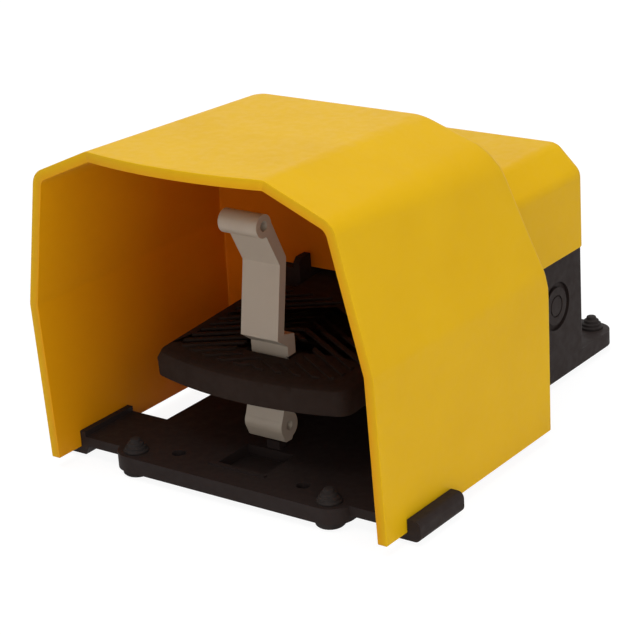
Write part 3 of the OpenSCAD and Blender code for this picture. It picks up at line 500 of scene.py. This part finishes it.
# %% [markdown]
# ## The hood
#
# In section the hood is a roof: a flat top, two steep shoulders, and side walls that are
# widest at a ridge halfway up. The top falls a little towards the rear. The section is built
# twice, at the front and at the rear end of the top, with the same number of points, and
# every row between is a straight mix of the two. The points lie closer together on the
# rounded edges, where the light bends.

# %% The hood's section
hood_box_low, hood_box_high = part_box("hood")
HOOD_X = hood_box_high.x / MM      # half width over the ridges
SKIRT_Z = hood_box_low.z / MM      # lower edge of the side walls
JOINT_Z = 55.5                     # joint between housing and cover
BEND_Z = 63.5                      # where the rear wall changes its slope
RIDGE_Z = 70.0
SHOULDER = Vector((68.4, 125.3))
TOP_Z = 137.3                      # flat top at the opening
TOP_X, TOP_X_REAR = 40.5, 38.3     # half width of the flat top at either end
SOFT_FRONT, SOFT_REAR = 6.0, 20.0  # radius of the long edges at either end
FALL = 4.3                         # drop of the top over its length
FALL_FROM, FALL_TO = -30.0, 89.5
FOOT_STEPS, ARC_STEPS = 8, 8
RUN_STEPS = (1, 9, 4, 6)           # below the ridge, side wall, shoulder, half of the top


def hood_half(top_x, fall, soft):
    """Half of the section: straight up past the joint and the bend, then in over the top."""
    foot, joint, bend, ridge = (Vector((HOOD_X, z)) for z in (SKIRT_Z, JOINT_Z, BEND_Z, RIDGE_Z))
    inward = Vector((-1, 0))
    upright = [(foot.lerp(joint, i / FOOT_STEPS), inward) for i in range(FOOT_STEPS)]
    upright += [(joint, inward), (bend, inward)]
    corners = [bend, ridge, SHOULDER - Vector((0, fall)),
               Vector((top_x, TOP_Z - fall)), Vector((0, TOP_Z - fall))]
    return upright + rounded_profile(corners, soft, ARC_STEPS, RUN_STEPS)[1:]


front_section = mirrored(hood_half(TOP_X, 0.0, SOFT_FRONT))
rear_section = mirrored(hood_half(TOP_X_REAR, FALL, SOFT_REAR))
SECTION = len(front_section)


def section_point(i, y):
    """Point and inward normal number i of the section at a depth."""
    share = (y - FALL_FROM) / (FALL_TO - FALL_FROM)
    (p0, n0), (p1, n1) = front_section[i], rear_section[i]
    return p0.lerp(p1, share), n0.lerp(n1, share).normalized()


print("section of the hood:", SECTION, "points")

# %% [markdown]
# ## The hood's rim and rear wall
#
# At the front the whole section ends in a rim that leans forward and bows out like a visor.
# At the rear it rolls over into a wall that leans down to the housing, with a tight radius
# low down and a generous one at the top. A cut by a curved block would make the rim, but
# these few functions of a point on the section are exact, and they keep the rows even.

# %% The hood's rim and rear wall
RIM_REACH, BROW = 5.5, 4.6         # how far the rim and its bow stand out
RIM_LEAN = math.radians(2.3)
REAR_TOP, REAR_TOP_Z = 95.5, 127.8
REAR_WALL = ((SKIRT_Z, 109.2), (BEND_Z, 110.5), (REAR_TOP_Z, REAR_TOP), (145.0, 91.5))
ROLLS = ((SKIRT_Z, 1.2), (60.0, 1.6), (72.0, 2.6), (100.0, 4.5), (126.0, 6.0), (200.0, 6.0))


def rim_y(x, z):
    """Depth of the rim: bowed over the flat top, straight beside it, leaning with height."""
    bow_r = (TOP_X ** 2 + BROW ** 2) / (2 * BROW)
    bow = bow_r - math.sqrt(max(bow_r ** 2 - min(abs(x), TOP_X) ** 2, 0.0))
    return -RIM_REACH - BROW + min(bow, BROW) - z * math.tan(RIM_LEAN)


def rear_y(z):
    """Depth of the rear wall's outer face at a height."""
    return by_steps(REAR_WALL, z)


print("the rim's middle stands", round(-rim_y(0, TOP_Z), 1), "mm before the plate")

# %% [markdown]
# ## The hood's points
#
# The rows of the grid run from the rim to the rear wall, and a few closer ones roll over its
# edge. The inner layer follows with smaller rolls, as the core of a mould does. The corners
# of the opening around the housing come last.

# %% The hood's points
HOOD_WALL = 4.0
OPENING_X = 55.5                   # half width of the opening around the housing
LONG_ROWS, ROLL_ROWS = 12, 6
ROLL_LOSS, LEAST_ROLL = 0.8, 0.8   # share of the wall that a roll loses inside, and what stays
JOINT_I, BEND_I = FOOT_STEPS, FOOT_STEPS + 1   # places of both heights in the section


def hood_layer(inset):
    """Points of one layer of the hood, row by row from the rim, then the opening's corners."""
    made = []
    for row in range(LONG_ROWS + ROLL_ROWS + 1):
        for i in range(SECTION):
            height = section_point(i, REAR_TOP)[0].y
            wall_y = rear_y(height) - inset
            roll = max(by_steps(ROLLS, height) - inset * ROLL_LOSS, LEAST_ROLL)
            if row <= LONG_ROWS:
                at_rim = section_point(i, 0.0)[0]
                start = rim_y(at_rim.x, at_rim.y)
                y = start + (wall_y - roll - start) * row / LONG_ROWS
                drawn_in = inset
            else:
                angle = math.pi / 2 * (row - LONG_ROWS) / ROLL_ROWS
                y = wall_y - roll + roll * math.sin(angle)
                drawn_in = inset + roll * (1 - math.cos(angle))
            point, normal = section_point(i, y)
            spot = point + normal * drawn_in
            if i in (0, SECTION - 1):
                spot.y = SKIRT_Z
            made.append(place(spot.x, y, spot.y))
    for side in (1, -1):
        for i in range(BEND_I + 1):
            z = front_section[i][0].y
            made.append(place(side * OPENING_X, rear_y(z) - inset, z))
    return made


hood_outside = hood_layer(0.0)
hood_inside = hood_layer(HOOD_WALL)
print("points in each layer of the hood:", len(hood_outside))

# %% [markdown]
# ## The hood's faces
#
# Every four neighbours of the grid make a face. The rear wall closes its end, with a strip
# on either side of the opening and one large face above. The same list serves both layers.

# %% The hood's faces
def grid_faces(rows, width):
    """Four-sided faces of a grid with a number of points in each row."""
    return [[row * width + i, row * width + i + 1, (row + 1) * width + i + 1,
             (row + 1) * width + i] for row in range(rows) for i in range(width - 1)]


def hood_faces():
    """Faces of one layer of the hood: the grid, two strips beside the opening, the crown."""
    faces = grid_faces(LONG_ROWS + ROLL_ROWS, SECTION)
    last = (LONG_ROWS + ROLL_ROWS) * SECTION
    right = last + SECTION
    left = right + BEND_I + 1
    for i in range(BEND_I):
        j = SECTION - 1 - i
        faces.append([last + i, last + i + 1, right + i + 1, right + i])
        faces.append([last + j - 1, last + j, left + i, left + i + 1])
    faces.append([right + JOINT_I, right + BEND_I, left + BEND_I, left + JOINT_I])
    crown = [last + i for i in range(BEND_I, SECTION - BEND_I)]
    faces.append(crown + [left + BEND_I, right + BEND_I])
    return faces


hood_verts, hood_mesh_faces = two_layers(hood_outside, hood_inside, hood_faces())
print("hood:", len(hood_verts), "points,", len(hood_mesh_faces), "faces")

# %% [markdown]
# ## The rear cover
#
# Behind the hood's rear wall the same moulding runs on as a lower cover over the contact
# housing. It starts with a hollow fillet against the wall, as every inside corner of a
# moulding does, runs level, and rolls over at its end with a small radius. Its lower edge
# stands a millimetre proud of the black housing. A bevel can't make the fillet, since the
# two shells only touch, so the first rows of the grid are spread into it.

# %% Rear cover
COVER_X, COVER_Z, COVER_SLOPE, COVER_SOFT = 56.2, 99.0, 11.0, 7.0
COVER_WALL, COVER_END = 3.2, 179.4
COVER_FILLET, COVER_ROLL = 2.2, 3.8
SUNK = 0.6                         # how deep the cover starts in the hood's wall
FILLET_ROWS, COVER_ROWS, COVER_ROLL_ROWS = 5, 8, 5
COVER_RUN_STEPS = (5, 2, 6)        # upright, slope, half of the top

cover_section = mirrored(rounded_profile(
    [Vector((COVER_X, JOINT_Z)), Vector((COVER_X, COVER_Z - COVER_SLOPE)),
     Vector((COVER_X - COVER_SLOPE, COVER_Z)), Vector((0, COVER_Z))],
    COVER_SOFT, ARC_STEPS, COVER_RUN_STEPS))


def cover_point(row, wall_y, inset):
    """Depth of a row of the cover, and how far it is drawn in from the section."""
    roll_start = COVER_END - COVER_ROLL - inset
    if row <= FILLET_ROWS:
        angle = math.pi / 2 * row / FILLET_ROWS
        if inset:
            return wall_y - SUNK + (COVER_FILLET + SUNK) * math.sin(angle) ** 2, inset
        climb = COVER_FILLET * (1 - math.cos(angle)) if row else -SUNK
        return wall_y + climb, -COVER_FILLET * (1 - math.sin(angle))
    if row <= FILLET_ROWS + COVER_ROWS:
        start = wall_y + COVER_FILLET
        return start + (roll_start - start) * (row - FILLET_ROWS) / COVER_ROWS, inset
    angle = math.pi / 2 * (row - FILLET_ROWS - COVER_ROWS) / COVER_ROLL_ROWS
    return (roll_start + COVER_ROLL * math.sin(angle),
            inset + COVER_ROLL * (1 - math.cos(angle)))


def cover_layer(inset):
    """Points of one layer of the cover, row by row from the hood's rear wall."""
    made = []
    for row in range(FILLET_ROWS + COVER_ROWS + COVER_ROLL_ROWS + 1):
        for i, (point, normal) in enumerate(cover_section):
            y, drawn_in = cover_point(row, rear_y(point.y), inset)
            spot = point + normal * drawn_in
            if i in (0, len(cover_section) - 1):
                spot.y = JOINT_Z
            made.append(place(spot.x, y, spot.y))
    return made


def cover_faces():
    """Faces of one layer of the cover: the grid and the flat end."""
    rows, width = FILLET_ROWS + COVER_ROWS + COVER_ROLL_ROWS, len(cover_section)
    return grid_faces(rows, width) + [[rows * width + i for i in range(width)]]


cover_verts, cover_mesh_faces = two_layers(cover_layer(0.0), cover_layer(COVER_WALL),
                                           cover_faces())
print("cover:", len(cover_verts), "points,", len(cover_mesh_faces), "faces")

# %% [markdown]
# ## Soft edges
#
# Every moulded or stamped edge has a tiny radius, and it is what catches the light. It could
# be part of the mesh, but a bevel modifier adds it wherever two faces meet sharply. Weighted
# normals then keep the broad faces flat, so that only the edges shade round.

# %% Helper for soft edges
def soften_edges(piece, width_mm, angle_deg, steps):
    """Round a piece's sharp edges by a small radius and keep its flat faces flat."""
    bevel = piece.modifiers.new("mould_radius", "BEVEL")
    bevel.width = width_mm * MM
    bevel.segments = steps
    bevel.limit_method = "ANGLE"
    bevel.angle_limit = math.radians(angle_deg)
    bevel.harden_normals = False
    bevel.miter_outer = "MITER_ARC"
    normals = piece.modifiers.new("flat_faces_first", "WEIGHTED_NORMAL")
    normals.weight = 100
    normals.keep_sharp = False


print("the helper for soft edges is ready")

# %% [markdown]
# ## Hood and cover as one piece
#
# Both shells are one moulding, so they become one object in place of the construction's
# hood. The points of the two inner layers get a mark, an attribute of the mesh that the
# yellow plastic reads to paint its bounced shade. A second material would do this too, but
# with a hard line between.

# %% Hood and cover as one piece
GUARD_EDGE, GUARD_ANGLE = 0.9, 50  # radius in mm, and the least angle that is rounded

shift = len(hood_verts)
guard = new_piece("guard_hood", hood_verts + cover_verts,
                  hood_mesh_faces + [tuple(v + shift for v in f) for f in cover_mesh_faces],
                  yellow, "frame")
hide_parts("hood")
soften_edges(guard, GUARD_EDGE, GUARD_ANGLE, steps=3)

# the mark shows the yellow plastic where to paint the shade of the hood's inside
inside = guard.data.attributes.new(INSIDE_MARK, "FLOAT", "POINT")
for start, points in ((0, hood_verts), (shift, cover_verts)):
    for i in range(start + len(points) // 2, start + len(points)):
        inside.data[i].value = 1.0
print("guard_hood:", len(guard.data.vertices), "points")

# %% [markdown]
# ## The pedal's springs
#
# Two compression springs stand on the plate and lift the pedal. The construction holds them
# as coils of one length, but a real spring shortens as the pedal goes down. A spring could
# be a curve with a round bevel, which is quick to draw, but only a mesh can be flattened
# with a joint. So the wire is laid as rings of points around a helix, in the box that the
# construction gives. The seat in the pedal swings rearward as it comes down.

# %% A spring that fills a box
WIRE = 1.6
TURNS, STEPS_A_TURN, WIRE_SIDES = 6, 24, 10


def compression_spring(low, high):
    """Points in mm and faces of a coil that fills a box, with a cap on each end of the wire."""
    middle, size = (low + high) / 2 / MM, (high - low) / MM
    coil_r, rise = (size.x - WIRE) / 2, size.z - WIRE
    steps = TURNS * STEPS_A_TURN
    points = []
    for step in range(steps + 1):
        around = 2 * math.pi * step / STEPS_A_TURN
        z = low.z / MM + WIRE / 2 + rise * step / steps
        for side in range(WIRE_SIDES):
            turn = 2 * math.pi * side / WIRE_SIDES
            reach = coil_r + WIRE / 2 * math.cos(turn)
            points.append(Vector((middle.x + reach * math.cos(around),
                                  middle.y + reach * math.sin(around),
                                  z + WIRE / 2 * math.sin(turn))))
    faces = [(a, a + WIRE_SIDES, b + WIRE_SIDES, b)
             for ring in range(0, steps * WIRE_SIDES, WIRE_SIDES)
             for a, b in ((ring + k, ring + (k + 1) % WIRE_SIDES) for k in range(WIRE_SIDES))]
    faces.append(tuple(range(WIRE_SIDES)))
    faces.append(tuple(range(steps * WIRE_SIDES, (steps + 1) * WIRE_SIDES)))
    return points, faces


print("spring:", TURNS, "turns of", WIRE, "mm wire")

# %% [markdown]
# The left and the right spring are the same, so a loop makes both. Each takes the place of
# the construction's coil, stays on the frame and gets a mesh of its own.

for side_name in ("left", "right"):
    low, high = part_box("pedal_spring_" + side_name)
    points, faces = compression_spring(low, high)
    spring = new_piece("lift_spring_" + side_name, [point * MM for point in points], faces,
                       spring_steel, "frame")
    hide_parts("pedal_spring_" + side_name)
    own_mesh(spring)
    print(spring.name, "length", round((high.z - low.z) / MM, 1), "mm")

# %% [markdown]
# ## The finishes of the other parts
#
# The other parts come from the construction with exact shapes, so they stay. A short list
# says what each is made of and how round its edges are, in millimetres: half a millimetre
# on large mouldings, a tenth on spring clips, and none on wire, which has no edges. The hood
# and the two springs that were drawn again are listed as well, so that no node is bare.

# %% Finish and edge radius of every node
FINISHES = {
    "base": (black, 0.5), "cover_gasket": (rubber, 0.1), "cover_screws": (zinc, 0.15),
    "foot_front_left": (rubber, 0.25), "foot_front_right": (rubber, 0.25),
    "foot_rear_left": (rubber, 0.25), "foot_rear_right": (rubber, 0.25),
    "pedal": (tread_black, 0.4), "pedal_axle": (zinc, 0.2), "axle_clips": (spring_steel, 0.1),
    "pedal_bush_left": (natural, 0.2), "pedal_bush_right": (natural, 0.2),
    "pedal_spring_left": (spring_steel, 0), "pedal_spring_right": (spring_steel, 0),
    "latch_lever": (grey, 0.5), "latch_pin": (zinc, 0.2), "latch_pin_clip": (spring_steel, 0.1),
    "latch_spring": (spring_steel, 0), "block_rail": (zinc, 0.2), "rail_screws": (zinc, 0.12),
    "contact_block_no": (black, 0.3), "contact_block_nc": (black, 0.3),
    "block_screws": (zinc, 0.12), "plunger_no": (green, 0.5), "plunger_nc": (red, 0.5),
    "plunger_seals": (rubber, 0.15), "terminal_clamps": (brass, 0.15),
    "terminal_screws": (zinc, 0.12), "hood": (yellow, 0),
}
print("nodes with a finish:", len(FINISHES), "of", len(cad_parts))

# %% [markdown]
# ## Dressing the construction
#
# The radius is added by modifiers, so the part's own mesh is never edited. Equal points are
# welded, flat faces are made whole again so that no stray diagonal is rounded, and the edges
# that are left get a bevel. Whole faces have a price. The grooved top of the pedal becomes a
# few faces with hundreds of sides around its ribs, and thin stray faces lie across some of
# its grooves and the well of the latch. A few lie on the underside of the base as well.

# %% Dress the construction nodes
SAME_POINT = 0.001                 # points closer than this are one, in mm
FLAT_ANGLE = 0.6                   # faces that meet at less than this are one, in degrees
PART_ANGLE = 32                    # the least angle that is rounded, in degrees

for node_name, (material, radius) in FINISHES.items():
    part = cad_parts[node_name]
    for slot in part.material_slots:
        slot.material = material
    if not part.material_slots:
        part.data.materials.append(material)
    if radius:
        weld = part.modifiers.new("weld", "WELD")
        weld.merge_threshold = SAME_POINT * MM
        whole = part.modifiers.new("whole_faces", "DECIMATE")
        whole.decimate_type = "DISSOLVE"
        whole.angle_limit = math.radians(FLAT_ANGLE)
        soften_edges(part, radius, PART_ANGLE, steps=2)
print("dressed", len(FINISHES), "construction nodes")
